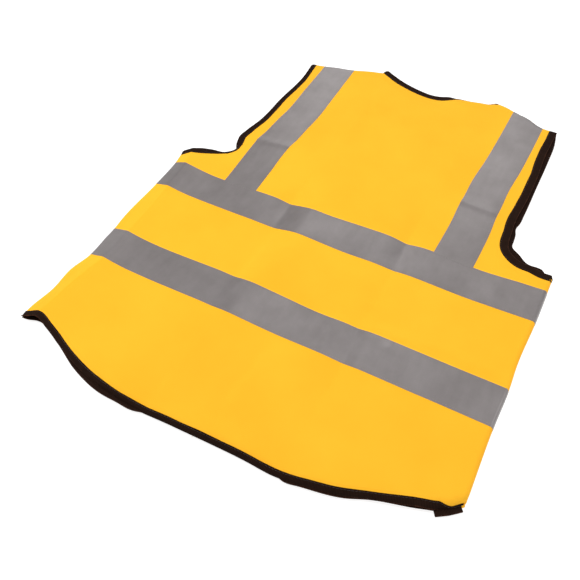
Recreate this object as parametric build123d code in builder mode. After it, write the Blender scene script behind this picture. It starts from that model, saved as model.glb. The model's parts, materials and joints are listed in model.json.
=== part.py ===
"""High visibility vest lying face down: the back on top, the two unfastened fronts under it.

X runs to the wearer's right, Y from the hem to the neck, Z up from the floor. The cloth is one
flat tube: a flat back, two flat fronts, and half-round rolls at the sides and the shoulders.
"""
import os
from math import hypot

from build123d import *

# Driving dimensions, in millimetres
HALF_WIDTH = 260.0  # middle to the outside of a side roll
HALF_LENGTH = 345.0  # middle to the hem, and to the top of the shoulders
HEIGHT = 12.0  # floor to the top of the reflective tape
CLOTH = 0.8
TRIM = 0.5  # reflective tape, and each wall of the folded binding
TAPE_WIDTH = 50.0
BINDING_WIDTH = 9.0
EDGE_CAP = 0.5  # binding standing proud of the cloth's bare edge

NECK_HALF = 92.0  # middle to the neck end of a shoulder seam
NECK_DROP = 23.0  # back neck, below the shoulders
FRONT_NECK_Y = 135.0  # bottom of the V neck
SHOULDER_TIP = (202.0, 310.0)
ARMHOLE_CORNER = (197.0, 25.0)
ARMHOLE_RADIUS = 40.0
HEM_CORNER_X = 110.0  # where the straight middle of the hem turns up to the sides
HEM_SLOPE = 0.374
HEM_RADIUS = 220.0
FRONT_GAP = 6.0  # between the two unfastened front edges

UPPER_BAND_Y = -26.0  # centre lines of the two bands round the body
LOWER_BAND_Y = -172.0
BRACE_X = 152.0  # centre line of the braces over the shoulders

FOLD_HEM_X = 150.0  # the front folds back from the neck end of the shoulder to here
FOLD_GAP = 0.3  # cloth kept clear on each side of the fold line
FLAP_TOP_Y = 337.0

PATCH_WIDTH = 25.0
PATCH_LENGTH = 60.0
PATCH_CORNER = 2.0
PATCH_YS = (60.0, -99.0, -255.0)
HOOK_THICKNESS = 1.2
SEAM_BEAD = 0.8
SEAM_HEIGHT = 1.2
SIZE_LABEL = (36.0, 22.0, 0.4)
CARE_LABEL = (35.0, 50.0, 0.4)
CARE_LABEL_PLACE = (-232.0, -85.0)
SEWN_MARGIN = 1.0  # between the binding and a patch or label sewn beside it

# Worked out from them
MID = HEIGHT / 2
CLOTH_OUT = MID - TRIM  # distances of the layers from the middle plane
CLOTH_IN = CLOTH_OUT - CLOTH
BINDING_IN = CLOTH_IN - TRIM
SIDE_LINE = HALF_WIDTH - MID  # centre line of the side rolls
BEYOND = 60.0  # how far cutting outlines and the side rolls run past the cloth
SHOULDER_BEYOND = 20.0  # how far the shoulder rolls do
NECK_POINT = (NECK_HALF, HALF_LENGTH)
SHOULDER_LENGTH = hypot(SHOULDER_TIP[0] - NECK_POINT[0], SHOULDER_TIP[1] - NECK_POINT[1])
SHOULDER_ALONG = Vector(SHOULDER_TIP[0] - NECK_POINT[0], SHOULDER_TIP[1] - NECK_POINT[1]).normalized()
SHOULDER_OUT = Vector(-SHOULDER_ALONG.Y, SHOULDER_ALONG.X)
SHOULDER_SLOPE = SHOULDER_ALONG.Y / SHOULDER_ALONG.X
FOLD_LEAN = (FOLD_HEM_X - NECK_HALF) / (2 * HALF_LENGTH)
BOUND_EDGE_X = FRONT_GAP / 2 + BINDING_WIDTH  # inner side of the binding down a front edge


def fold_x(y):
    """X of the right front's fold line at a height y."""
    return NECK_HALF + (HALF_LENGTH - y) * FOLD_LEAN


def hem_y(x):
    """Y of the straight outer part of the hem."""
    return -HALF_LENGTH + (x - HEM_CORNER_X) * HEM_SLOPE


def shoulder_line_y(x):
    """Y of the centre line of the shoulder rolls."""
    start = Vector(*NECK_POINT) - SHOULDER_OUT * MID
    return start.Y + (x - start.X) * SHOULDER_SLOPE


def skin(inner, outer):
    """The whole garment's skin between two distances from its middle plane, not yet cut out."""
    flat_corners = [
        (SIDE_LINE, -HALF_LENGTH - BEYOND),
        (SIDE_LINE, shoulder_line_y(SIDE_LINE)),
        (0, shoulder_line_y(0)),
        (-SIDE_LINE, shoulder_line_y(SIDE_LINE)),
        (-SIDE_LINE, -HALF_LENGTH - BEYOND),
    ]
    shoulder_centre = Vector(*NECK_POINT) + SHOULDER_ALONG * (SHOULDER_LENGTH / 2) - SHOULDER_OUT * MID
    side_middle_y = (ARMHOLE_CORNER[1] - HALF_LENGTH) / 2
    with BuildPart() as layer:
        for low in (MID + inner, MID - outer):
            with BuildSketch(Plane.XY.offset(low)):
                with BuildLine():
                    Polyline(*flat_corners, close=True)
                make_face()
            extrude(amount=outer - inner)
        rolls = (
            (Vector(SIDE_LINE, side_middle_y), Vector(1, 0), Vector(0, 1), HALF_LENGTH + BEYOND),
            (shoulder_centre, SHOULDER_OUT, SHOULDER_ALONG, SHOULDER_LENGTH + SHOULDER_BEYOND),
        )
        for centre, outward, along, length in rolls:
            for hand in (1, -1):
                roll_plane = Plane(
                    origin=(hand * centre.X, centre.Y, MID),
                    x_dir=(hand * outward.X, outward.Y, 0),
                    z_dir=(hand * along.X, along.Y, 0),
                )
                with BuildSketch(roll_plane):
                    Circle(outer)
                    Circle(inner, mode=Mode.SUBTRACT)
                    Rectangle(outer, 2 * outer, align=(Align.MAX, Align.CENTER), mode=Mode.SUBTRACT)
                extrude(amount=length / 2, both=True)
    return layer.part


def side_edge():
    """Corners of the right edge of a panel, from above the shoulder down to the hem."""
    arm_lean = (SHOULDER_TIP[0] - ARMHOLE_CORNER[0]) / (SHOULDER_TIP[1] - ARMHOLE_CORNER[1])
    top_y = HALF_LENGTH + BEYOND
    return [
        (ARMHOLE_CORNER[0] + (top_y - ARMHOLE_CORNER[1]) * arm_lean, top_y),
        ARMHOLE_CORNER,
        (HALF_WIDTH + BEYOND, ARMHOLE_CORNER[1]),
        (HALF_WIDTH + BEYOND, hem_y(HALF_WIDTH + BEYOND)),
        (HEM_CORNER_X, -HALF_LENGTH),
    ]


def back_plan(inset):
    """Outline of the back, drawn in from its bound edges by inset."""
    with BuildSketch() as plan:
        with BuildLine():
            neck = ThreePointArc((-NECK_HALF, HALF_LENGTH), (0, HALF_LENGTH - NECK_DROP), NECK_POINT)
            edge = Polyline(neck @ 1, *side_edge(), (0, -HALF_LENGTH))
            mirror(edge, about=Plane.YZ)
        make_face()
        for hand in (1, -1):
            armhole_corner = (hand * ARMHOLE_CORNER[0], ARMHOLE_CORNER[1])
            hem_corner = (hand * HEM_CORNER_X, -HALF_LENGTH)
            fillet(plan.vertices().sort_by_distance(armhole_corner)[0], radius=ARMHOLE_RADIUS)
            fillet(plan.vertices().sort_by_distance(hem_corner)[0], radius=HEM_RADIUS)
        if inset:
            offset(amount=-inset, kind=Kind.INTERSECTION)
    return plan.sketch


def front_plan(inset):
    """Outline of the right front, drawn in from its bound edges by inset."""
    centre_x = FRONT_GAP / 2
    neck_lean = (NECK_HALF - centre_x) / (HALF_LENGTH - FRONT_NECK_Y)
    neck_top = (NECK_HALF + BEYOND * neck_lean, HALF_LENGTH + BEYOND)
    with BuildSketch() as plan:
        with BuildLine():
            Polyline(
                (centre_x, FRONT_NECK_Y), neck_top, *side_edge(), (centre_x, -HALF_LENGTH),
                close=True,
            )
        make_face()
        fillet(plan.vertices().sort_by_distance(ARMHOLE_CORNER)[0], radius=ARMHOLE_RADIUS)
        fillet(plan.vertices().sort_by_distance((HEM_CORNER_X, -HALF_LENGTH))[0], radius=HEM_RADIUS)
        if inset:
            offset(amount=-inset, kind=Kind.INTERSECTION)
    return plan.sketch


def flap_plan(margin):
    """Area that folds back with the right front, grown by margin over the fold line."""
    low_y = -HALF_LENGTH - BEYOND
    top_y = FLAP_TOP_Y + margin
    with BuildSketch() as plan:
        with BuildLine():
            Polyline(
                (0, low_y), (fold_x(low_y) + margin, low_y), (fold_x(top_y) + margin, top_y), (0, top_y),
                close=True,
            )
        make_face()
    return plan.sketch


def region(base, within=None, without=None):
    """A plan area, kept within one area and cleared of another."""
    with BuildSketch() as plan:
        add(base)
        if within:
            add(within, mode=Mode.INTERSECT)
        if without:
            add(without, mode=Mode.SUBTRACT)
    return plan.sketch


def strip(width, length, centre):
    """A rectangle in plan, centred on a point."""
    with BuildSketch(Plane((centre[0], centre[1], 0))) as plan:
        Rectangle(width, length)
    return plan.sketch


def cut_out(layer, area, low=0.0, high=HEIGHT):
    """The piece of a layer that lies over a plan area, between two heights."""
    with BuildPart() as piece:
        add(layer)
        with BuildSketch(Plane.XY.offset(low)):
            add(area)
        extrude(amount=high - low, mode=Mode.INTERSECT)
    return piece.part


def binding(pieces, cloth):
    """Binding folded over the edges of cloth panels: its outer shape less the cloth inside it."""
    with BuildPart() as folded:
        for piece in pieces:
            add(piece)
        for panel in cloth:
            add(panel, mode=Mode.SUBTRACT)
    return folded.part


def save(name, piece):
    """Label one finished piece and write it as a STEP file."""
    piece.label = name
    export_step(piece, f"parts/{name}.step")


def mirrored(piece):
    """The same piece on the wearer's left."""
    with BuildPart() as left:
        mirror(piece, about=Plane.YZ)
    return left.part


def save_pair(name, piece):
    """Write a right-hand piece and its mirror image on the left."""
    save(f"right_{name}", piece)
    save(f"left_{name}", mirrored(piece))


os.makedirs("parts", exist_ok=True)

cloth_skin = skin(CLOTH_IN, CLOTH_OUT)
tape_skin = skin(CLOTH_OUT, MID)
binding_skin = skin(BINDING_IN, MID)
seam_skin = skin(CLOTH_IN - SEAM_BEAD, CLOTH_IN)

back_ring = region(back_plan(0), without=back_plan(BINDING_WIDTH))
front_ring = region(front_plan(0), without=front_plan(BINDING_WIDTH))
tape_limit = front_plan(BINDING_WIDTH)
flap_area = flap_plan(-FOLD_GAP)
fixed_area = region(strip(HALF_WIDTH + BEYOND, 3 * HALF_LENGTH, ((HALF_WIDTH + BEYOND) / 2, 0)),
                    without=flap_plan(FOLD_GAP))

# Cloth: one back panel, and each front in two parts that meet at its fold line
back_panel = cut_out(cloth_skin, back_plan(EDGE_CAP), low=MID)
front_side_panel = cut_out(cloth_skin, region(front_plan(EDGE_CAP), within=fixed_area), high=MID)
front_flap_panel = cut_out(cloth_skin, region(front_plan(EDGE_CAP), within=flap_area), high=MID)
left_front_side_panel = mirrored(front_side_panel)
save("back_panel", back_panel)
save_pair("front_side_panel", front_side_panel)
save_pair("front_flap_panel", front_flap_panel)

# Reflective tape: two bands round the body, and a brace over each shoulder
for band_name, band_y in (("upper_band", UPPER_BAND_Y), ("lower_band", LOWER_BAND_Y)):
    band_area = strip(2 * HALF_WIDTH, TAPE_WIDTH, (0, band_y))
    side_band_area = region(region(band_area, within=tape_limit), within=fixed_area)
    flap_band_area = region(region(band_area, within=tape_limit), within=flap_area)
    save(f"back_{band_name}", cut_out(tape_skin, band_area, low=MID))
    save_pair(f"front_{band_name}_side", cut_out(tape_skin, side_band_area, high=MID))
    save_pair(f"front_{band_name}_flap", cut_out(tape_skin, flap_band_area, high=MID))

brace_low = UPPER_BAND_Y + TAPE_WIDTH / 2
brace_length = HALF_LENGTH - brace_low
brace_area = strip(TAPE_WIDTH, brace_length, (BRACE_X, brace_low + brace_length / 2))
save_pair("back_brace", cut_out(tape_skin, brace_area, low=MID))
save_pair("front_brace", cut_out(tape_skin, brace_area, high=MID))

# Binding: folded over every bare edge of the cloth
armhole_area = strip(HALF_WIDTH, 2 * HALF_LENGTH, (HALF_WIDTH + NECK_HALF / 2, HALF_LENGTH))
armhole_piece = cut_out(binding_skin, region(back_ring, within=armhole_area))
save_pair("armhole_binding", binding([armhole_piece], [back_panel, front_side_panel]))

neck_area = strip(2 * (NECK_HALF + BINDING_WIDTH * 2), HALF_LENGTH, (0, HALF_LENGTH))
neck_front_area = region(region(front_ring, within=neck_area), within=fixed_area)
neck_back = cut_out(binding_skin, region(back_ring, within=neck_area), low=MID)
neck_front = cut_out(binding_skin, neck_front_area, high=MID)
save("neck_binding", binding(
    [neck_back, neck_front, mirrored(neck_front)],
    [back_panel, front_side_panel, left_front_side_panel],
))

hem_area = strip(3 * HALF_WIDTH, HALF_LENGTH, (0, -HALF_LENGTH))
hem_front_area = region(region(front_ring, within=hem_area), within=fixed_area)
hem_back = cut_out(binding_skin, region(back_ring, within=hem_area), low=MID)
hem_front = cut_out(binding_skin, hem_front_area, high=MID)
save("hem_binding", binding(
    [hem_back, hem_front, mirrored(hem_front)],
    [back_panel, front_side_panel, left_front_side_panel],
))

front_edge_piece = cut_out(binding_skin, region(front_ring, within=flap_area), high=MID)
save_pair("front_edge_binding", binding([front_edge_piece], [front_flap_panel]))

# Overlocked seam beads inside the side and shoulder seams
bead_low = MID - SEAM_HEIGHT / 2
bead_high = MID + SEAM_HEIGHT / 2
bead_area = region(back_plan(BINDING_WIDTH), within=tape_limit)
side_bead_area = region(bead_area, without=strip(2 * SIDE_LINE, 3 * HALF_LENGTH, (0, 0)))
shoulder_bead_area = region(
    bead_area, within=strip(ARMHOLE_CORNER[0] - NECK_HALF, HALF_LENGTH, (BRACE_X, HALF_LENGTH))
)
save_pair("side_seam", cut_out(seam_skin, side_bead_area, low=bead_low, high=bead_high))
save_pair("shoulder_seam", cut_out(seam_skin, shoulder_bead_area, low=bead_low, high=bead_high))

# Front fastening: hooks inside the left front, loops outside the right front
patch_x = BOUND_EDGE_X + SEWN_MARGIN + PATCH_WIDTH / 2
front_inside = MID - CLOTH_IN
with BuildPart() as hook_patches:
    for patch_y in PATCH_YS:
        with BuildSketch(Plane((-patch_x, patch_y, front_inside))):
            RectangleRounded(PATCH_WIDTH, PATCH_LENGTH, radius=PATCH_CORNER)
    extrude(amount=HOOK_THICKNESS)
save("hook_patches", hook_patches.part)
with BuildPart() as loop_patches:
    for patch_y in PATCH_YS:
        with BuildSketch(Plane((patch_x, patch_y, 0))):
            RectangleRounded(PATCH_WIDTH, PATCH_LENGTH, radius=PATCH_CORNER)
    extrude(amount=TRIM)
save("loop_patches", loop_patches.part)

# Blank sewn-in labels: one under the back neck, one on the left side seam
size_label_y = HALF_LENGTH - NECK_DROP - BINDING_WIDTH - SEWN_MARGIN - SIZE_LABEL[1] / 2
with BuildPart() as size_label:
    with BuildSketch(Plane((0, size_label_y, MID + CLOTH_IN))):
        Rectangle(SIZE_LABEL[0], SIZE_LABEL[1])
    extrude(amount=-SIZE_LABEL[2])
save("size_label", size_label.part)
with BuildPart() as care_label:
    with BuildSketch(Plane((*CARE_LABEL_PLACE, front_inside))):
        Rectangle(CARE_LABEL[0], CARE_LABEL[1])
    extrude(amount=CARE_LABEL[2])
save("care_label", care_label.part)
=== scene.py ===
"""The looks of a high visibility vest that lies face down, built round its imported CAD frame.

Every cloth part is cut flat in the vest's own plan (millimetres, X to the wearer's right, Y from the
hem to the neck) and then laid on one of two surfaces: the back, on top, and the fronts, under it.
Tape, binding and stitching are laid on the same surfaces, a little above or below the cloth.
"""

import json
import math

import bpy
import numpy as np
from mathutils import Matrix, Vector
from mathutils.geometry import delaunay_2d_cdt
from mathutils.kdtree import KDTree


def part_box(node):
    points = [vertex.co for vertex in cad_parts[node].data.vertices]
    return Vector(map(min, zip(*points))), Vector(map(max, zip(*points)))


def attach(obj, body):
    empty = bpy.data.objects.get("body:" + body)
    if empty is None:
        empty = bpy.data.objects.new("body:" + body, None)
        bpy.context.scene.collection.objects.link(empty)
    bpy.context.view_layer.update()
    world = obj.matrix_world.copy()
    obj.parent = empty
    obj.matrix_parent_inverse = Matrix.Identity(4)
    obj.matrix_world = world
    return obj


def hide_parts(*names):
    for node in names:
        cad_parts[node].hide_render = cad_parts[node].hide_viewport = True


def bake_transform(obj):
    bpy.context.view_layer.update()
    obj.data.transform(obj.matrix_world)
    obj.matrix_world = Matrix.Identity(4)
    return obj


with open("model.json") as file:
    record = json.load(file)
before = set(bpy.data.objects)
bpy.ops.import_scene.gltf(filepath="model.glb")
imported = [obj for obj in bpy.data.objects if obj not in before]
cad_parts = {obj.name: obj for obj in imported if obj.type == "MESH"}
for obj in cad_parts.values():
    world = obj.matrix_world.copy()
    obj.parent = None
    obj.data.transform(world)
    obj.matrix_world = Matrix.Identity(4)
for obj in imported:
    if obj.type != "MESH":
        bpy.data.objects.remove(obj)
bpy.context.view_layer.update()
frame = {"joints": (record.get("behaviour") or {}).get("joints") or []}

MM = 0.001

# Thicknesses and fine sizes, in millimetres
CLOTH = 0.5
TAPE = 0.3
BINDING_WALL = 0.4
BINDING_PROUD = 0.7  # binding outside the cloth's bare edge
STITCH_LENGTH = 2.6
STITCH_GAP = 0.9
THREAD_RADIUS = 0.17

# Heights above the floor of the cloth's middle, or of the middle of a seam's two layers
FRONT_LEVEL = 0.62
SHOULDER_LEVEL = 4.6
RIGHT_SEAM_LEVEL = 2.2
LEFT_SEAM_LEVEL = 1.9
FLOOR_LEVEL = -2.9  # the fronts can fold right over, and still lie on the floor

# Seams: the two layers turn in and lie together
SEAM_ALLOWANCE = 6.0
SEAM_HALF = 0.6
BACK_TURN = 0.8
FRONT_TURN = 0.4


# ---- lines and shapes in the flat plan

def ease(t):
    """0 to 1, with no slope at either end."""
    t = np.clip(t, 0.0, 1.0)
    return t * t * (3 - 2 * t)


def lengths(line):
    """Distance along a line at each of its points."""
    return np.concatenate([[0.0], np.cumsum(np.linalg.norm(np.diff(line, axis=0), axis=1))])


def shares(line):
    """Share of a line's length at each of its points."""
    along = lengths(line)
    return along / along[-1]


def unit(vectors):
    """Vectors, one to a row, made one long."""
    return vectors / np.linalg.norm(vectors, axis=1)[:, None]


def evenly(line, gap):
    """The line again, with points about gap apart."""
    along = lengths(line)
    at = np.linspace(0, along[-1], max(2, int(round(along[-1] / gap)) + 1))
    return np.column_stack([np.interp(at, along, line[:, k]) for k in range(line.shape[1])])


def smooth(points, gap=4.0):
    """A smooth line through a few chosen points, with points about gap apart."""
    p = np.array(points, float)
    if len(p) == 2:
        return evenly(p, gap)
    t = lengths(p)
    slope = np.gradient(p, t, axis=0)
    fine = np.linspace(0, t[-1], 40 * len(p))
    i = np.clip(np.searchsorted(t, fine, side="right") - 1, 0, len(p) - 2)
    h = (t[i + 1] - t[i])[:, None]
    s = (fine - t[i])[:, None] / h
    line = (
        (1 + 2 * s) * (1 - s) ** 2 * p[i]
        + s * (1 - s) ** 2 * h * slope[i]
        + s * s * (3 - 2 * s) * p[i + 1]
        + s * s * (s - 1) * h * slope[i + 1]
    )
    return evenly(line, gap)


def joined(*lines):
    """Lines end to end, with no point twice."""
    parts = [lines[0]] + [line[1:] for line in lines[1:]]
    return np.concatenate(parts)


def across(line):
    """The unit direction to the left of a line, at each of its points."""
    ahead = unit(np.gradient(line, axis=0))
    return np.column_stack([-ahead[:, 1], ahead[:, 0]])


def nearest(p, line):
    """For each point: distance to a line, positive on its right; share of the way along; way to it."""
    a, d = line[:-1], np.diff(line, axis=0)
    square = (d * d).sum(1)
    start = lengths(line)
    found = []
    for some in np.array_split(p, max(1, len(p) * len(a) // 2000000 + 1)):
        rel = some[:, None] - a
        t = np.clip((rel * d).sum(2) / square, 0, 1)
        away = rel - t[..., None] * d
        gap = np.sqrt((away ** 2).sum(2))
        k = gap.argmin(1)
        n = np.arange(len(some))
        side = d[k, 1] * rel[n, k, 0] - d[k, 0] * rel[n, k, 1]
        share = (start[k] + t[n, k] * np.sqrt(square[k])) / start[-1]
        way = np.column_stack([d[k, 1], -d[k, 0]]) / np.sqrt(square[k])[:, None]
        found.append(np.column_stack([np.where(side < 0, -1, 1) * gap[n, k], share, way]))
    found = np.concatenate(found)
    return found[:, 0], found[:, 1], found[:, 2:]


def close_to(p, line, reach):
    """Which points lie in a line's box, widened by reach."""
    low, high = line.min(0) - reach, line.max(0) + reach
    return ((p > low) & (p < high)).all(1)


def gap_to(p, line, reach):
    """Distance from a line, or reach where it is more."""
    gap = np.full(len(p), float(reach))
    near = close_to(p, line, reach)
    if near.any():
        gap[near] = np.minimum(np.abs(nearest(p[near], line)[0]), reach)
    return gap


# Edges of the vest as it lies, each from left to right or from the hem upwards
LEFT_SIDE = smooth([
    (-259.5, -308), (-259.3, -292), (-255.5, -262), (-257.5, -226), (-252.5, -200), (-254, -165),
    (-255, -145), (-257, -130), (-259, -50), (-262, 1), (-267, 26),
])
RIGHT_SIDE = smooth([(255.5, -281), (256, -193), (258, -140), (257.5, -114), (261, -47), (263, 26)])
LEFT_CREASE = smooth([
    (-241, -305), (-236, -250), (-229, -197), (-230, -147), (-237, -51), (-242, 0), (-252, 34),
])
BACK_HEM = smooth([
    (-259.5, -308), (-253, -306.8), (-241, -302.8), (-219, -309), (-186, -321.8), (-152, -333.2),
    (-68, -343), (-30, -341.4), (55, -338.4), (88, -338.6), (124, -332.7), (153, -325.6), (180, -315.6),
    (212, -304), (247, -289.5), (255.5, -281),
])
FRONT_HEM = smooth([
    (-259.5, -308), (-253, -307.2), (-241, -303.2), (-200, -315.8), (-158, -334), (-117, -343.6),
    (-94, -344), (-75, -344.2), (-62, -340.8), (-22, -336.9), (28, -334.7), (86, -333.8), (98, -337),
    (114, -334), (155, -324.3), (175, -315.3), (222, -300), (247, -289.3), (255.5, -281),
])
LEFT_ARMHOLE = smooth([
    (-267, 26), (-251, 32.5), (-230.5, 44.3), (-217, 51.8), (-207, 60), (-205, 74), (-209, 92.5),
    (-207, 108), (-201.5, 139), (-201, 203), (-198, 266), (-203.5, 318.5),
])
LEFT_FRONT_ARMHOLE = smooth([
    (-267, 26), (-257, 41.5), (-232, 50.5), (-214, 53), (-204, 62), (-202, 90), (-197.5, 203),
    (-196.5, 266), (-203.5, 318.5),
])
RIGHT_ARMHOLE = smooth([
    (263, 26), (250, 25.5), (236, 29.5), (224, 31), (206, 43.5), (199, 82), (201.5, 157), (202, 198),
    (200.5, 245), (203, 313),
])
RIGHT_FRONT_ARMHOLE = smooth([
    (263, 26), (255, 28), (249.5, 35.5), (230, 37.5), (217, 48.5), (206.5, 57), (205.5, 68),
    (204.8, 79), (202, 91), (204.2, 102), (205, 120), (206, 183), (207, 246), (206.6, 284), (203, 313),
])
LEFT_SHOULDER = smooth([
    (-203.5, 318.5), (-183.5, 322), (-160, 327.5), (-134, 332.8), (-109.5, 342), (-87, 347.5),
])
RIGHT_SHOULDER = smooth([(106, 346.5), (118, 344), (135, 336.5), (157, 328.5), (180, 315), (203, 313)])
BACK_NECK = smooth([
    (-87, 347.5), (-83, 357), (-74.5, 352), (-51, 338.6), (-9, 325), (4, 323), (16, 324), (30, 330),
    (45, 338.5), (66, 342.7), (86, 346), (106, 346.5),
])
LEFT_NECK_EDGE = smooth([(-4, 135), (-46, 236), (-97, 345)])
RIGHT_NECK_EDGE = smooth([(3, 135), (52, 236), (106, 346.5)])
LEFT_CENTRE_EDGE = smooth([(-3, -341), (-4, -100), (-4, 135)])
RIGHT_CENTRE_EDGE = smooth([(3, -339), (2, -100), (3, 135)])


def x_at(line, y):
    """Where a side line stands at a height y."""
    return np.interp(y, line[:, 1], line[:, 0])


def split_at_x(line, x):
    """A left-to-right line cut in two at x."""
    y = np.interp(x, line[:, 0], line[:, 1])
    left = line[line[:, 0] < x - 0.5]
    right = line[line[:, 0] > x + 0.5]
    return np.vstack([left, (x, y)]), np.vstack([(x, y), right])


# The fold lines that the fronts open on, from the two joints: a point, the way along towards the neck,
# and the way across towards the part that opens
FOLDS = {}
for joint in frame["joints"]:
    hand = 1 if joint["child"] == "right_front" else -1
    along = np.array(joint["axis"][:2]) * (-1 if joint["axis"][1] < 0 else 1)
    along /= np.linalg.norm(along)
    FOLDS[joint["child"]] = (np.array(joint["pos_m"][:2]) / MM, along, np.array([-along[1], along[0]]) * hand)
FOLD_START = -1.0  # the bend begins this far outside the fold line, and ends this far inside it
FOLD_END = 5.0


def inside_fold(p, body):
    """Distance of points from a fold line, positive on the side that opens."""
    pivot, _, inward = FOLDS[body]
    return (p - pivot) @ inward


# ---- the two surfaces the cloth lies on

def soft_waves(p, seed, height, longest, shortest, count=14):
    """Gentle unevenness: a few long waves in mixed directions, the same each time."""
    draw = np.random.default_rng(seed)
    total = np.zeros(len(p))
    for _ in range(count):
        turn = draw.uniform(0, math.pi)
        wave = draw.uniform(shortest, longest)
        start = draw.uniform(0, 2 * math.pi)
        total += np.sin(p @ (math.cos(turn), math.sin(turn)) * (2 * math.pi / wave) + start)
    return total * height / math.sqrt(count)


# The back's ridges and valleys run from the hem to the neck. Each row gives, from left to right, where
# they cross one height y, and how high the cloth lies there: at the hem, at both edges of each band,
# above the bands and at the shoulders.
RELIEF = {
    -330: [(-241, 9.4), (-205, 6.8), (-165, 6.0), (-90, 6.2), (-60, 5.6), (-45, 6.4), (-15, 6.2), (18, 5.6),
           (55, 6.4), (88, 5.8), (105, 6.4), (148, 6.6), (185, 6.8), (222, 7.0), (256, 6.6)],
    -197: [(-229, 11.2), (-205, 6.3), (-165, 5.2), (-85, 8.0), (-71, 7.7), (-55, 9.6), (-15, 7.2), (14, 6.0),
           (62, 7.8), (94, 6.4), (112, 8.9), (145, 8.6), (185, 9.2), (215, 9.4), (256, 9.0)],
    -147: [(-230, 10.4), (-205, 5.9), (-170, 4.6), (-92, 8.0), (-71, 7.0), (-52, 11.0), (-15, 8.0), (42, 3.8),
           (72, 6.8), (90, 5.2), (104, 7.6), (150, 7.6), (185, 7.6), (218, 7.6), (258, 8.0)],
    -51: [(-237, 9.5), (-213, 5.2), (-170, 3.6), (-105, 4.6), (-71, 4.0), (-42, 11.1), (-12, 9.2), (30, 7.1),
          (65, 9.2), (93, 7.0), (108, 9.3), (145, 8.0), (180, 6.7), (225, 8.7), (262, 10.0)],
    -1: [(-243, 11.6), (-206, 4.9), (-183, 3.5), (-95, 6.4), (-75, 2.6), (-42, 9.5), (-18, 6.8), (15, 8.5),
         (68, 10.3), (90, 5.4), (112, 9.9), (145, 7.6), (186, 5.0), (225, 9.2), (262, 10.4)],
    70: [(-257, 8.0), (-205, 7.0), (-178, 6.8), (-95, 7.2), (-72, 6.9), (-50, 7.4), (-15, 7.5), (20, 7.6),
         (66, 7.8), (90, 7.2), (110, 7.5), (145, 7.3), (180, 6.8), (210, 7.6), (262, 8.0)],
    345: [(-257, 7.5), (-205, 7.4), (-178, 7.2), (-95, 7.2), (-72, 7.0), (-50, 7.2), (-15, 7.0), (20, 6.8),
          (66, 6.8), (90, 6.8), (110, 7.0), (145, 7.2), (180, 7.0), (210, 7.2), (262, 7.4)],
}
SOFTNESS = [1.6, 7.0, 10.0, 4.0, 1.3, 5.0, 8.0, 7.0, 5.0, 1.3, 5.0, 12.0, 10.0, 9.0, 9.0]
RELIEF_LINES = [
    smooth([(x, y, level) for y, row in RELIEF.items() for x, level in row[k:k + 1]], 6.0)
    for k in range(len(SOFTNESS))
]


def relief(x, y):
    """Height of the cloth between its ridges and valleys, which bend it as softly as SOFTNESS says."""
    at = [np.interp(y, line[:, 1], line[:, 0]) for line in RELIEF_LINES]
    level = [np.interp(y, line[:, 1], line[:, 2]) for line in RELIEF_LINES]
    slopes = [(level[k + 1] - level[k]) / (at[k + 1] - at[k]) for k in range(len(at) - 1)]
    total = level[0] + slopes[0] * (x - at[0])
    for k in range(1, len(slopes)):
        soft = SOFTNESS[k]
        total += (slopes[k] - slopes[k - 1]) * soft * np.logaddexp(0, (x - at[k]) / soft)
    return total


# Other creases of the back: line, depth (negative for a ridge), width on its left and on its right
CREASES = [
    (smooth(points, 12.0), depth, left, right)
    for points, depth, left, right in [
        ([(20, -325), (4, -290), (10, -250), (6, -215)], 0.9, 9.0, 5.0),
        ([(-50, -330), (-58, -290), (-64, -240), (-66, -205)], -0.8, 9.0, 6.0),
        ([(128, -200), (127, -150)], 0.5, 7.0, 3.0),
        ([(58, -200), (60, -150)], 0.5, 8.0, 4.0),
        ([(-165, -200), (-166, -148)], 0.4, 9.0, 7.0),
        ([(80, -141), (110, -139), (144, -137), (186, -130), (222, -135), (250, -136)], -1.2, 6.0, 9.0),
        ([(80, -112), (124, -107)], -0.5, 7.0, 8.0),
        ([(-2, 94), (-14, 120), (-36, 197), (-62, 270), (-76, 322)], -0.9, 9.0, 14.0),
        ([(60, 180), (74, 214), (90, 262), (106, 322)], -0.7, 10.0, 14.0),
        ([(2, 88), (30, 127), (60, 186)], -0.5, 10.0, 12.0),
        ([(-196, 94), (-160, 97), (-124, 102)], -1.3, 9.0, 6.0),
        ([(112, 106), (144, 103), (182, 100)], -1.2, 9.0, 6.0),
        ([(-186, -240), (-170, -290)], 0.6, 12.0, 9.0),
    ]
]


def crease_height(p, line, depth, left, right, ends=0.15):
    """A crease pressed into the cloth along a line, with its own width on each side."""
    height = np.zeros(len(p))
    near = close_to(p, line, 2.6 * max(left, right))
    if near.any():
        gap, share, _ = nearest(p[near], line)
        width = np.where(gap < 0, left, right)
        fade = ease(share / ends) * ease((1 - share) / ends)
        height[near] = -depth * fade * np.exp(-(gap / width) ** 2)
    return height


def beside(p, line, reach):
    """1 on a line, easing to 0 at reach from it."""
    return 1 - ease(gap_to(p, line, reach) / reach)


def quarter(t):
    """Fall of a round edge: 1 at the edge, where it is upright, and 0 from t = 1 inwards."""
    t = np.clip(t, 0.0, 1.0)
    return 1 - np.sqrt(np.clip(1 - (1 - t) ** 2, 0, 1))


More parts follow.
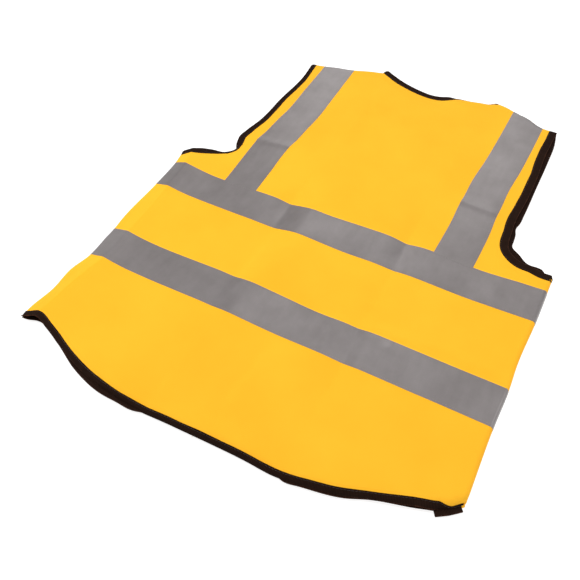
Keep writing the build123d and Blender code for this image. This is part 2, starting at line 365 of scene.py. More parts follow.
# Roundings of the cloth's edges at the seams, and what the cloth does near its openings
BACK_LEFT_ROUND, BACK_RIGHT_ROUND = 3.0, 4.0
FRONT_LEFT_ROUND, FRONT_RIGHT_ROUND = 5.0, 7.0
SHOULDER_ROUND = 8.0
NECK_SAG, NECK_REACH = 1.0, 50.0
RIGHT_ARMHOLE_LIFT, LEFT_ARMHOLE_LIFT, LIFT_REACH = 2.4, 1.5, 30.0
LIFT_FROM, LIFT_OVER = 140.0, 40.0  # the lift begins this far from the middle, and is full this much later
STRIP_RISE = 0.4  # the strip left of the crease rises to this far above the relief, then
STRIP_EDGE = 1.0  # falls to this far above the seam's edge
CREASE_SHARP = 0.3


def back_height(p):
    """Height of the back's cloth over the plan."""
    x, y = p.T
    level = relief(x, y) + soft_waves(p, 5, 0.22, 190, 80) + soft_waves(p, 8, 0.06, 60, 28)
    for crease in CREASES:
        level += crease_height(p, *crease)
    level -= NECK_SAG * beside(p, BACK_NECK, NECK_REACH)

    side, crease = x_at(LEFT_SIDE, y), x_at(LEFT_CREASE, y)
    edge = LEFT_SEAM_LEVEL + SEAM_HALF + BACK_TURN
    top = relief(crease, y) + STRIP_RISE
    strip = top + (top - edge - STRIP_EDGE) / (crease - side) * (x - crease)
    level = -CREASE_SHARP * np.logaddexp(-level / CREASE_SHARP, -strip / CREASE_SHARP)
    level -= (level - edge) * quarter((x - side) / BACK_LEFT_ROUND)
    edge = RIGHT_SEAM_LEVEL + SEAM_HALF + BACK_TURN
    level -= (level - edge) * quarter((x_at(RIGHT_SIDE, y) - x) / BACK_RIGHT_ROUND)
    edge = SHOULDER_LEVEL + SEAM_HALF + BACK_TURN
    for shoulder in (LEFT_SHOULDER, RIGHT_SHOULDER):
        level -= (level - edge) * quarter(gap_to(p, shoulder, SHOULDER_ROUND + 1) / SHOULDER_ROUND)
    return level


def front_height(p):
    """Height of the fronts' cloth over the plan."""
    x, y = p.T
    level = FRONT_LEVEL + np.abs(soft_waves(p, 21, 0.16, 160, 70))
    lift = RIGHT_ARMHOLE_LIFT * beside(p, RIGHT_FRONT_ARMHOLE, LIFT_REACH)
    lift += LEFT_ARMHOLE_LIFT * beside(p, LEFT_ARMHOLE, LIFT_REACH)
    level += lift * ease((np.abs(x) - LIFT_FROM) / LIFT_OVER)
    edge = LEFT_SEAM_LEVEL - SEAM_HALF - FRONT_TURN
    level += (edge - level) * quarter((x - x_at(LEFT_SIDE, y)) / FRONT_LEFT_ROUND)
    edge = RIGHT_SEAM_LEVEL - SEAM_HALF - FRONT_TURN
    level += (edge - level) * quarter((x_at(RIGHT_SIDE, y) - x) / FRONT_RIGHT_ROUND)
    edge = SHOULDER_LEVEL - SEAM_HALF - FRONT_TURN
    for shoulder in (LEFT_SHOULDER, RIGHT_SHOULDER):
        level += (edge - level) * quarter(gap_to(p, shoulder, SHOULDER_ROUND + 1) / SHOULDER_ROUND)
    return level


SEAMS = [
    (LEFT_SIDE, -1, LEFT_SEAM_LEVEL), (RIGHT_SIDE, 1, RIGHT_SEAM_LEVEL),
    (LEFT_SHOULDER, -1, SHOULDER_LEVEL), (RIGHT_SHOULDER, -1, SHOULDER_LEVEL),
]


def turned_in(p, height, layer, turn):
    """Lays cloth at its height. What reaches past a seam turns in, between the two layers."""
    out = np.column_stack([p, height(p)])
    for line, cloth_side, seam_level in SEAMS:
        near = close_to(p, line, SEAM_ALLOWANCE + 2)
        if not near.any():
            continue
        gap, share, way = nearest(p[near], line)
        beyond = gap * cloth_side
        past = (beyond > 0) & (share > 0) & (share < 1)
        index = np.flatnonzero(near)[past]
        way = -way[past] * cloth_side
        beyond = beyond[past][:, None]
        round_part = np.minimum(beyond / turn, math.pi / 2)
        inward = beyond + turn * (1 - np.cos(round_part)) + np.maximum(beyond - turn * math.pi / 2, 0)
        out[index, :2] = p[index] + way * inward
        out[index, 2] = (seam_level + layer * (SEAM_HALF + turn * (1 - np.sin(round_part))))[:, 0]
    return out


def part_of(line, start, end):
    """The stretch of a line between two shares of its length."""
    share = shares(line)
    return line[(share >= start) & (share <= end)]


def longer(line, start, end):
    """The line drawn out straight at its ends."""
    first, last = line[0] - line[1], line[-1] - line[-2]
    head = line[0] + first / np.linalg.norm(first) * start
    tail = line[-1] + last / np.linalg.norm(last) * end
    return np.concatenate([[head] if start else line[:0], line, [tail] if end else line[:0]])


# Where the back's edge rolls under: line, width, angle, side the cloth is on, shares that fade in and out
CURLS = [
    (part_of(LEFT_ARMHOLE, 0.07, 0.27), 11.0, 1.5, 1, 0.3, 0.2),
    (part_of(BACK_NECK, 0.62, 1.0), 10.0, 1.5, 1, 0.35, 0.25),
    (BACK_HEM, 9.0, 1.15, -1, 0.3, 0.2),
    (longer(part_of(BACK_HEM, 0.91, 1.0), 0, 10), 9.5, 1.35, -1, 0.5, 0.05),
]


def back_lay(p):
    """The back's cloth: plan points to points in space."""
    out = turned_in(p, back_height, 1, BACK_TURN)
    for line, width, angle, cloth_side, fade_in, fade_out in CURLS:
        near = close_to(p, line, width)
        if not near.any():
            continue
        gap, share, way = nearest(p[near], line)
        bend = angle * ease(share / fade_in) * ease((1 - share) / fade_out)
        held = (np.abs(gap) < width) & (bend > 0.02)
        index = np.flatnonzero(near)[held]
        radius = width / bend[held]
        rest = width - gap[held] * cloth_side
        pull = rest - radius * np.sin(rest / radius)
        out[index, :2] += way[held] * (cloth_side * pull)[:, None]
        out[index, 2] -= radius * (1 - np.cos(rest / radius))
    return out


def front_lay(p):
    """The fronts' cloth: plan points to points in space."""
    return turned_in(p, front_height, -1, FRONT_TURN)


NORMAL_STEP = 0.15


def laid(lay, p, offset=0.0):
    """Points of a surface, moved along its normal, with those normals."""
    ahead = lay(p + (NORMAL_STEP, 0)) - lay(p - (NORMAL_STEP, 0))
    up = lay(p + (0, NORMAL_STEP)) - lay(p - (0, NORMAL_STEP))
    normal = unit(np.cross(ahead, up))
    return lay(p) + normal * np.reshape(offset, (-1, 1)), normal


# ---- making meshes

def make_piece(name, points, faces, flat, material, sharp=math.radians(50)):
    """A mesh object in metres, smooth except at sharp edges, with its flat cut as its UV map."""
    mesh = bpy.data.meshes.new(name)
    mesh.from_pydata((np.asarray(points) * MM).tolist(), [], [list(map(int, f)) for f in faces])
    uv = mesh.uv_layers.new(name="flat")
    corners = np.zeros(len(mesh.loops), np.int32)
    mesh.loops.foreach_get("vertex_index", corners)
    uv.data.foreach_set("uv", (np.asarray(flat)[corners] * MM).astype(np.float32).ravel())
    mesh.polygons.foreach_set("use_smooth", np.ones(len(mesh.polygons), bool))
    mesh.set_sharp_from_angle(angle=sharp)
    mesh.materials.append(material)
    mesh.validate()
    mesh.update()
    piece = bpy.data.objects.new(name, mesh)
    bpy.context.scene.collection.objects.link(piece)
    return piece


def closed_from(lay, flat, cells, middle, thickness):
    """Top, bottom and rim of a sheet of flat cells, laid on a surface."""
    point, normal = laid(lay, flat)
    top = point + normal * (middle + thickness / 2)
    bottom = point + normal * (middle - thickness / 2)
    n, size = len(flat), cells.shape[1]
    edges = np.concatenate([cells[:, [k, (k + 1) % size]] for k in range(size)])
    _, first, uses = np.unique(np.sort(edges, axis=1), axis=0, return_index=True, return_counts=True)
    rim = edges[first[uses == 1]]
    sides = np.column_stack([rim[:, ::-1], rim + n])
    faces = cells.tolist() + (cells[:, ::-1] + n).tolist() + sides.tolist()
    return np.concatenate([top, bottom]), faces, np.concatenate([flat, flat])


ROW_STEP = 0.866  # gap between rows of even triangles, in parts of their spacing


def grid_points(outline, spacing):
    """Staggered points over an outline's box."""
    low, high = outline.min(0), outline.max(0)
    rows = np.arange(low[1], high[1], spacing * ROW_STEP)
    cols = np.arange(low[0], high[0] + spacing, spacing)
    x, y = np.meshgrid(cols, rows)
    x = x + (np.arange(len(rows)) % 2)[:, None] * spacing / 2
    return np.column_stack([x.ravel(), y.ravel()])


def inside(p, outline):
    """Which points lie inside a closed outline."""
    hit = np.zeros(len(p), bool)
    a, b = outline, np.roll(outline, -1, axis=0)
    for (ax, ay), (bx, by) in zip(a, b):
        spans = (ay > p[:, 1]) != (by > p[:, 1])
        rise = by - ay if by != ay else 1.0
        hit ^= spans & (p[:, 0] < (bx - ax) * (p[:, 1] - ay) / rise + ax)
    return hit


def triangulated(outline, spacing, guides):
    """Flat points and triangles of a cut piece: its outline, guide rows beside it, even points inside."""
    closed = np.vstack([outline, outline[:1]])
    guides = np.concatenate(guides)
    guides = guides[inside(guides, outline)]
    guides = guides[gap_to(guides, closed, 1.0) > 0.3]
    taken = KDTree(len(outline) + len(guides))
    for i, point in enumerate(np.concatenate([outline, guides])):
        taken.insert((*point, 0), i)
    taken.balance()
    grid = grid_points(outline, spacing)
    grid = grid[inside(grid, outline)]
    clear = [taken.find((*point, 0))[2] > 0.6 * spacing for point in grid]
    points = np.concatenate([outline, guides, grid[clear]])
    ring = [(i, (i + 1) % len(outline)) for i in range(len(outline))]
    made = delaunay_2d_cdt([Vector(p) for p in points], ring, [], 1, 1e-4)
    flat = np.array([tuple(v) for v in made[0]])
    triangles = np.array(made[2])
    a, b, c = (flat[triangles[:, k]] for k in range(3))
    area = (b[:, 0] - a[:, 0]) * (c[:, 1] - a[:, 1]) - (b[:, 1] - a[:, 1]) * (c[:, 0] - a[:, 0])
    triangles[area < 0] = triangles[area < 0][:, ::-1]
    return flat, triangles, np.abs(area).sum() / 2


def strip_piece(name, flat, columns, lay, middle, thickness, material):
    """A strip of tape from a flat grid of points, columns to a row, laid on a surface."""
    index = np.arange(len(flat)).reshape(-1, columns)
    corners = (index[:-1, :-1], index[:-1, 1:], index[1:, 1:], index[1:, :-1])
    quads = np.column_stack([corner.ravel() for corner in corners])
    piece = make_piece(name, *closed_from(lay, flat, quads, middle, thickness), material)
    if piece.data.polygons[0].normal.z < 0:
        piece.data.flip_normals()
    return piece


def tube_faces(tubes, rings, sides, base=0, inside_out=False):
    """Faces of closed tubes whose points run tube by tube, ring by ring and side by side."""
    faces = []
    for start in range(base, base + tubes * rings * sides, rings * sides):
        for near in range(start, start + (rings - 1) * sides, sides):
            far = near + sides
            for j in range(sides):
                k = (j + 1) % sides
                faces.append((near + j, near + k, far + k, far + j))
        last = start + (rings - 1) * sides
        faces.append(tuple(range(start + sides - 1, start - 1, -1)))
        faces.append(tuple(range(last, last + sides)))
    return [face[::-1] for face in faces] if inside_out else faces


RING_GAP = 2.5  # between cross-sections of binding
SHORT_RING_GAP = 1.2  # the same on runs shorter than SHORT_RUN
SHORT_RUN = 60
PUCKER_WAVES = (7.3, 11.9, 19.1)  # along the binding, for its thickness
DRIFT_WAVES = (41.0, 73.0)  # and for its width
PUCKER = 0.10
DRIFT = 0.03
FOLDED_EDGE = 7  # which point of a cross-section is its folded edge


def width_along(line, width):
    """Binding width at each point of a line, from one number or a list of (share of the line, width)."""
    if not isinstance(width, list):
        return np.full(len(line), float(width))
    return np.interp(shares(line), *np.array(width, float).T)


def binding_rings(line, side, width, lay, seed):
    """Cross-sections of binding folded over an edge. side is +1 where the cloth is on the line's left."""
    line = evenly(line, RING_GAP if lengths(line)[-1] > SHORT_RUN else SHORT_RING_GAP)
    widths = width_along(line, width)
    inward = side * across(line)
    half = CLOTH / 2
    outer = half + BINDING_WALL
    # parts of the width, millimetres more, height off the cloth's middle, and parts of BINDING_PROUD
    upper = [
        (1, 0, half + 0.03, 0), (1, 0, outer * 0.82, 0), (1, -1, outer, 0), (0.5, 0, outer * 1.04, 0),
        (0, 1.6, outer, 0), (0, 0.5, outer * 0.86, 0.5), (0, 0, outer * 0.5, 0.886),
    ]
    lower = [(part, more, -height, out) for part, more, height, out in reversed(upper)]
    section = [*upper, (0, 0, 0.0, 1), *lower, (0, 1, -half - 0.03, 0), (0, 1, half + 0.03, 0)]
    draw = np.random.default_rng(seed)
    along = lengths(line)
    pucker = sum(np.sin(along * 2 * math.pi / w + draw.uniform(0, 6.28)) for w in PUCKER_WAVES) / 3
    drift = sum(np.sin(along * 2 * math.pi / w + draw.uniform(0, 6.28)) for w in DRIFT_WAVES) / 2
    rings = np.zeros((len(line), len(section), 3))
    tip, _ = laid(lay, line)
    next_in, _ = laid(lay, line + inward)
    outward = unit(tip - next_in)
    for k, (part, more, offset, proud) in enumerate(section):
        depth = part * widths * (1 + DRIFT * drift) + more
        swell = offset * (1 + PUCKER * pucker)
        at, _ = laid(lay, line + inward * depth[:, None], swell)
        rings[:, k] = at + outward * (proud * BINDING_PROUD)
    around = lengths(np.array([(part * widths.mean() + more, offset) for part, more, offset, _ in section]))
    return rings, along, around - around[FOLDED_EDGE]


def binding_piece(name, runs, material, seed):
    """One binding piece from runs of (line, side, width, lay), with flat coordinates from its folded edge."""
    points, faces, flat = [], [], []
    for i, (line, side, width, lay) in enumerate(runs):
        rings, along, around = binding_rings(line, side, width, lay, seed + i)
        if side < 0:
            rings, around = rings[:, ::-1], around[::-1]
        base = sum(len(p) for p in points)
        faces += tube_faces(1, len(rings), len(around), base)
        points.append(np.concatenate(rings))
        flat.append(np.column_stack([np.repeat(along, len(around)), np.tile(around, len(along))]))
    return make_piece(name, np.concatenate(points), faces, np.concatenate(flat), material,
                      sharp=math.radians(60))


def thread_run(points, faces, flat, line, lay, height):
    """Short stitches along a flat line: small humps of thread that dip into the cloth at each end."""
    pitch = STITCH_LENGTH + STITCH_GAP
    along = lengths(line)
    starts = np.arange(pitch / 2, along[-1] - pitch / 2, pitch)
    shape = ((0.0, -0.16), (0.18, 0.07), (0.5, 0.13), (0.82, 0.07), (1.0, -0.16))
    sides = 5
    station = [starts + share * STITCH_LENGTH for share, _ in shape]
    spots = [np.column_stack([np.interp(s, along, line[:, k]) for k in (0, 1)]) for s in station]
    middles, ups = [], []
    for (share, rise), spot in zip(shape, spots):
        point, normal = laid(lay, spot, height + rise * np.sign(height))
        middles.append(point)
        ups.append(normal)
    ahead = unit(middles[-1] - middles[0])
    turn = np.arange(sides) * 2 * math.pi / sides
    base = sum(len(p) for p in points)
    rings = []
    for k, (middle, up) in enumerate(zip(middles, ups)):
        out = np.cross(ahead, up)
        thick = THREAD_RADIUS * (0.7 if k in (0, len(shape) - 1) else 1.0)
        circle = out[:, None] * np.cos(turn)[:, None] + up[:, None] * np.sin(turn)[:, None]
        rings.append(middle[:, None] + thick * circle)
    cloud = np.stack(rings, axis=1)  # stitch, ring, side
    count = len(starts)
    points.append(cloud.reshape(-1, 3))
    flat.append(np.column_stack([
        np.tile(np.repeat(np.arange(len(shape)), sides), count) * 0.5,
        np.tile(np.arange(sides), count * len(shape)) * 0.2,
    ]))
    faces += tube_faces(count, len(shape), sides, base, inside_out=True)


# ---- materials

def new_material(name, base, roughness, specular=0.5, sheen=0.0, sheen_tint=(1, 1, 1), sheen_roughness=0.5):
    """A material with its uniform values on the shader; returns it with its node tree and shader."""
    material = bpy.data.materials.new(name)
    material.use_nodes = True
    tree = material.node_tree
    shader = tree.nodes["Principled BSDF"]
    shader.inputs["Base Color"].default_value = (*base, 1)
    shader.inputs["Roughness"].default_value = roughness
    shader.inputs["Specular IOR Level"].default_value = specular
    shader.inputs["Sheen Weight"].default_value = sheen
    shader.inputs["Sheen Roughness"].default_value = sheen_roughness
    shader.inputs["Sheen Tint"].default_value = (*sheen_tint, 1)
    material.diffuse_color = (*base, 1)
    return material, tree, shader


def add_node(tree, kind, **values):
    """A node with some inputs and settings given by name."""
    node = tree.nodes.new(kind)
    for key, value in values.items():
        if key in node.inputs:
            node.inputs[key].default_value = value
        else:
            setattr(node, key, value)
    return node


def flat_coordinates(tree, scale=(1, 1, 1)):
    """The flat cut in metres, scaled."""
    uv = add_node(tree, "ShaderNodeUVMap", uv_map="flat")
    place = add_node(tree, "ShaderNodeMapping")
    place.inputs["Scale"].default_value = scale
    tree.links.new(uv.outputs["UV"], place.inputs["Vector"])
    return place.outputs["Vector"]


def noise(tree, vector, scale, detail=3.0, rough=0.5):
    """An uneven value, 0 to 1, that varies along a vector."""
    node = add_node(tree, "ShaderNodeTexNoise", Scale=scale, Detail=detail, Roughness=rough)
    tree.links.new(vector, node.inputs["Vector"])
    return node.outputs["Fac"]


def waves(tree, vector, scale, direction, distortion=0.0):
    """Even sine bands across one direction."""
    node = add_node(tree, "ShaderNodeTexWave", Scale=scale, Distortion=distortion)
    node.bands_direction = direction
    node.wave_profile = "SIN"
    tree.links.new(vector, node.inputs["Vector"])
    return node.outputs["Fac"]


def combine(tree, operation, a, b):
    """A sum, product or other operation on two values, each a number or a node's output."""
    node = add_node(tree, "ShaderNodeMath", operation=operation)
    for k, value in enumerate((a, b)):
        if isinstance(value, (int, float)):
            node.inputs[k].default_value = value
        else:
            tree.links.new(value, node.inputs[k])
    return node.outputs[0]


def mixed(tree, *shares):
    """Sum of (value, share of it)."""
    total = None
    for value, share in shares:
        part = combine(tree, "MULTIPLY", value, share)
        total = part if total is None else combine(tree, "ADD", total, part)
    return total


def coloured(tree, shader, factor, stops):
    """Base colours along a factor."""
    node = tree.nodes.new("ShaderNodeValToRGB")
    elements = node.color_ramp.elements
    while len(elements) < len(stops):
        elements.new(0.5)
    for element, (place, colour) in zip(elements, stops):
        element.position = place
        element.color = (*colour, 1)
    tree.links.new(factor, node.inputs["Fac"])
    tree.links.new(node.outputs["Color"], shader.inputs["Base Color"])


def bump(tree, shader, height, strength, distance):
    """Tilts a shader's surface as a height would."""
    node = add_node(tree, "ShaderNodeBump", Strength=strength, Distance=distance)
    tree.links.new(height, node.inputs["Height"])
    tree.links.new(node.outputs["Normal"], shader.inputs["Normal"])


def cloth_material():
    """Warp-knitted fluorescent polyester: fine wales and courses, and slightly uneven dye."""
    amber = (0.97, 0.475, 0.020)
    material, tree, shader = new_material("cloth_knit", amber, 0.85, 0.15, 0.06, (1.0, 0.70, 0.25), 0.4)
    plan = flat_coordinates(tree)
    uneven = noise(tree, plan, 9.0, 4.0, 0.55)
    wales = waves(tree, plan, 1.0 / 0.0042, "X", 0.3)
    courses = waves(tree, plan, 1.0 / 0.0056, "Y", 0.3)
    knit = combine(tree, "MULTIPLY", wales, courses)
    tone = mixed(tree, (uneven, 0.9), (knit, 0.12))
    coloured(tree, shader, tone, [(0.30, (0.96, 0.445, 0.017)), (0.75, (0.98, 0.500, 0.024))])
    bump(tree, shader, knit, 0.35, 0.00012)
    return material


def tape_material():
    """Retroreflective tape: satin silver grey, a film of fine glass beads, faint streaks from rubbing."""
    material, tree, shader = new_material("reflective_tape", (0.24, 0.22, 0.22), 0.36, 0.4)
    shader.inputs["Metallic"].default_value = 0.38
    plan = flat_coordinates(tree)
    blotch = noise(tree, plan, 22.0, 4.0, 0.6)
    streak = noise(tree, flat_coordinates(tree, (1, 0.25, 1)), 90.0, 3.0, 0.6)
    beads = noise(tree, plan, 2600.0, 1.0, 0.5)
    tone = mixed(tree, (blotch, 0.55), (streak, 0.25), (beads, 0.2))
    coloured(tree, shader, tone, [(0.30, (0.185, 0.166, 0.164)), (0.70, (0.262, 0.240, 0.238))])
    bump(tree, shader, beads, 0.25, 0.00005)
    return material


# Painted highlight: the binding's folded edge is painted lighter brown, for the light along the fold and
# between the layers.
FOLD_HIGHLIGHT = 0.62  # how much lighter the binding is at its folded edge
FOLD_HIGHLIGHT_FADE = 520000.0  # and how fast that falls off, by the square of the distance in metres


def binding_material():
    """Black-brown woven binding with ribs across its length, and a painted highlight, lighter brown, along
    its folded edge.
    """
    material, tree, shader = new_material("binding_weave", (0.014, 0.006, 0.004), 0.85, 0.05)
    plan = flat_coordinates(tree)
    ribs = waves(tree, plan, 1.0 / 0.0045, "X", 0.4)
    weft = waves(tree, plan, 1.0 / 0.007, "Y", 0.4)
    wear_and_highlight_noise = noise(tree, plan, 160.0, 3.0, 0.6)
    parts = tree.nodes.new("ShaderNodeSeparateXYZ")
    tree.links.new(plan, parts.inputs["Vector"])
    # Painted highlight: lighter brown at the folded edge, falling off with the square of the distance from
    # it, and broken up by the noise.
    off_fold = combine(tree, "MULTIPLY", parts.outputs["Y"], parts.outputs["Y"])
    fold_highlight = combine(tree, "SUBTRACT", FOLD_HIGHLIGHT, combine(tree, "MULTIPLY", off_fold, FOLD_HIGHLIGHT_FADE))
    fold_highlight = combine(tree, "MAXIMUM", fold_highlight, 0.0)
    tone = combine(tree, "MULTIPLY", combine(tree, "ADD", ribs, wear_and_highlight_noise), 0.27)
    tone = combine(tree, "ADD", tone, combine(tree, "MULTIPLY", fold_highlight, wear_and_highlight_noise))
    # The lightest stop is the brown of the painted highlight at the folded edge.
    coloured(tree, shader, tone, [
        (0.10, (0.009, 0.0038, 0.0022)), (0.45, (0.024, 0.011, 0.007)), (0.75, (0.105, 0.036, 0.018)),
    ])
    bump(tree, shader, combine(tree, "ADD", ribs, combine(tree, "MULTIPLY", weft, 0.5)), 0.5, 0.00015)
    return material


def thread_material(name, dark, light):
    """Twisted polyester thread."""
    material, tree, shader = new_material(name, light, 0.6, 0.4, 0.2, (1, 1, 1))
    plan = flat_coordinates(tree)
    twist = waves(tree, plan, 1.0 / 0.0012, "DIAGONAL", 0.2)
    coloured(tree, shader, twist, [(0.2, dark), (0.9, light)])
    bump(tree, shader, twist, 0.4, 0.00005)
    return material


def touch_material(name, fuzz_scale, strength):
    """Black hook or loop tape."""
    material, tree, shader = new_material(name, (0.012, 0.012, 0.013), 0.75, 0.3, 0.35, (0.5, 0.5, 0.52))
    plan = flat_coordinates(tree)
    fuzz = add_node(tree, "ShaderNodeTexVoronoi", Scale=fuzz_scale)
    tree.links.new(plan, fuzz.inputs["Vector"])
    stops = [(0.1, (0.035, 0.035, 0.037)), (0.6, (0.006, 0.006, 0.007))]
    coloured(tree, shader, fuzz.outputs["Distance"], stops)
    bump(tree, shader, combine(tree, "SUBTRACT", 1.0, fuzz.outputs["Distance"]), strength, 0.0004)
    return material


def label_material():
    """Blank white satin label."""
    material, tree, shader = new_material("label_satin", (0.80, 0.80, 0.77), 0.45, 0.5, 0.2, (1, 1, 1))
    plan = flat_coordinates(tree)
    warp, weft = waves(tree, plan, 1.0 / 0.002, "X"), waves(tree, plan, 1.0 / 0.0026, "Y")
    weave = combine(tree, "MULTIPLY", warp, weft)
    coloured(tree, shader, weave, [(0.0, (0.72, 0.72, 0.69)), (1.0, (0.83, 0.83, 0.80))])
    bump(tree, shader, weave, 0.3, 0.00005)
    return material


CLOTH_LOOK = cloth_material()
TAPE_LOOK = tape_material()
BINDING_LOOK = binding_material()
AMBER_THREAD = thread_material("amber_thread", (0.55, 0.27, 0.02), (0.85, 0.47, 0.05))
GREY_THREAD = thread_material("grey_thread", (0.20, 0.18, 0.17), (0.36, 0.33, 0.32))
DARK_THREAD = thread_material("dark_thread", (0.008, 0.006, 0.005), (0.03, 0.02, 0.016))
WHITE_THREAD = thread_material("white_thread", (0.5, 0.5, 0.48), (0.75, 0.75, 0.72))
HOOK_LOOK = touch_material("hook_tape", 1400.0, 0.9)
LOOP_LOOK = touch_material("loop_tape", 2600.0, 0.6)
LABEL_LOOK = label_material()


# ---- putting pieces on their bodies

def across_fold(piece):
    """Bakes the piece's transform into its mesh."""
    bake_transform(piece)


def place(piece, body, slot, *nodes):
    """The piece rides on the back or on a named body, or else has its transform baked into its mesh, and
    hides the CAD nodes it stands for.
    """
    if body == "back":
        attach(piece, "back")
    elif body.startswith("on "):
        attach(piece, body[3:])
    else:
        across_fold(piece)
    if nodes:
        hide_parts(*nodes)
    return piece


def stitch(name, runs, material, body):
    """One piece of stitching from runs of (flat line, lay, height)."""
    points, faces, flat = [], [], []
    for line, lay, height in runs:
        thread_run(points, faces, flat, evenly(line, 2.0), lay, height)
    piece = make_piece(f"{name}_stitching", np.concatenate(points), faces, np.concatenate(flat), material)
    place(piece, body, "thread")


# ---- camera, floor and light

CAMERA_PLACE = (0.2135, -0.5227, 0.550)
CAMERA_ANGLES = (29.205, 50.658, -1.202)  # azimuth, elevation and roll, in degrees
CAMERA_LENS = 37.24
CAMERA_SENSOR = 36.0


def make_camera():
    """A camera in front of the hem, above the wearer's right, as a person would look down at the vest."""
    azimuth, elevation, roll = (math.radians(angle) for angle in CAMERA_ANGLES)
    flat_back = Vector((math.sin(azimuth), -math.cos(azimuth), 0))
    back = flat_back * math.cos(elevation) + Vector((0, 0, math.sin(elevation)))
    right = Vector((math.cos(azimuth), math.sin(azimuth), 0))
    up = back.cross(right)
    turned_right = math.cos(roll) * right + math.sin(roll) * up
    turned_up = -math.sin(roll) * right + math.cos(roll) * up
    camera = bpy.data.objects.new("camera", bpy.data.cameras.new("camera"))
    camera.data.sensor_width = CAMERA_SENSOR
    camera.data.lens = CAMERA_LENS
    camera.data.clip_start = 0.01
    turned = Matrix((turned_right, turned_up, back)).transposed().to_4x4()
    camera.matrix_world = Matrix.Translation(CAMERA_PLACE) @ turned
    bpy.context.scene.collection.objects.link(camera)
    bpy.context.scene.camera = camera


def make_floor():
    """A plain white floor."""
    mesh = bpy.data.meshes.new("floor")
    reach, level = 6.0, FLOOR_LEVEL * MM
    spots = [(x * reach, y * reach, level) for x, y in ((-1, -1), (1, -1), (1, 1), (-1, 1))]
    mesh.from_pydata(spots, [], [(0, 1, 2, 3)])
    floor = bpy.data.objects.new("floor", mesh)
    material, _, shader = new_material("floor_white", (0.38, 0.38, 0.38), 0.9, 0.0)
    shader.inputs["Emission Color"].default_value = (1, 1, 1, 1)
    shader.inputs["Emission Strength"].default_value = 0.85
    mesh.materials.append(material)
    bpy.context.scene.collection.objects.link(floor)


def make_lamp(name, place, size, power):
    """A soft square lamp that points at the middle of the vest."""
    lamp = bpy.data.objects.new(name, bpy.data.lights.new(name, "AREA"))
    lamp.data.size = size
    lamp.data.energy = power
    lamp.location = place
    lamp.rotation_mode = "QUATERNION"
    lamp.rotation_quaternion = (-Vector(place)).to_track_quat("-Z", "Y")
    bpy.context.scene.collection.objects.link(lamp)


def make_light():
    """An even white room, and four soft lamps."""
    scene = bpy.context.scene
    scene.view_settings.view_transform = "Standard"
    scene.view_settings.look = "None"
    world = bpy.data.worlds.new("room")
    world.use_nodes = True
    background = world.node_tree.nodes["Background"]
    background.inputs["Color"].default_value = (1, 1, 1, 1)
    background.inputs["Strength"].default_value = 0.40
    scene.world = world
    make_lamp("top", (0.0, 0.0, 1.6), 0.8, 11.2)
    make_lamp("left", (-1.05, -0.3, 0.82), 0.8, 7.7)
    make_lamp("right", (1.1, 0.3, 0.9), 0.8, 4.4)
    make_lamp("back", (-0.5, 1.95, 1.2), 1.3, 8.5)


make_camera()
make_floor()
make_light()


# ---- cloth

EDGE_ROWS = (0.6, 1.6, 3.2, 5.6)  # rows of points inside a bound edge
SEAM_ROWS = (-4.0, -1.9, -1.3, -0.9, -0.45, 0.0, 0.5, 1.3, 2.6, 4.4, 7.0)  # and about a seam line
CREASE_ROWS = (-1.6, -0.8, 0.0, 0.8, 1.6)
VALLEY_ROWS = (-2.0, -1.0, 0.0, 1.0, 2.0)
SHARP_VALLEYS = (4, 9)  # the relief lines that bend sharply
BACK_SPACING = 4.5
FRONT_SPACING = 6.0
FOLD_ROW_REACH = 360.0
FOLD_ROW_GAP = 4.0


def beyond(line, cloth_side):
    """A seam's allowance: the line moved out by it, a little short at both ends."""
    return (line + across(line) * (-cloth_side * SEAM_ALLOWANCE))[3:-2]


def closed(*lines):
    """One outline from lines end to end, with no point twice."""
    outline = np.concatenate(lines)
    step = np.linalg.norm(outline - np.roll(outline, 1, axis=0), axis=1)
    return outline[step > 0.2]


def rows(line, cloth_side, gaps):
    """Rows of points beside a line. cloth_side is +1 where the cloth is on its left."""
    inward = across(line) * cloth_side
    return [line + inward * gap for gap in gaps]


def finer_at_fold(line, body):
    """The line with points every millimetre where it crosses a fold."""
    fine = evenly(line, 1.0)
    way = inside_fold(fine, body)
    near = (way > FOLD_START - 2) & (way < FOLD_END + 2)
    if not near.any():
        return line
    first, last = np.flatnonzero(near)[[0, -1]]
    share, coarse = shares(fine), shares(line)
    return np.concatenate([line[coarse < share[first]], fine[first:last + 1], line[coarse > share[last]]])


def fold_rows(body):
    """Rows of points across the width that bends, every millimetre."""
    pivot, along, inward = FOLDS[body]
    steps = np.arange(-FOLD_ROW_REACH, FOLD_ROW_REACH, FOLD_ROW_GAP)
    gaps = np.arange(FOLD_START, FOLD_END + 0.1, 1.0)
    return [pivot + steps[:, None] * along + inward * gap for gap in gaps]


def cloth_piece(name, outline, guides, lay, body, spacing, *nodes):
    """A cut panel of cloth, laid out."""
    flat, triangles, area = triangulated(outline, spacing, guides)
    points, faces, cut = closed_from(lay, flat, triangles, 0.0, CLOTH)
    piece = make_piece(name, points, faces, cut, CLOTH_LOOK, sharp=math.radians(70))
    place(piece, body, "cloth", *nodes)
    return piece


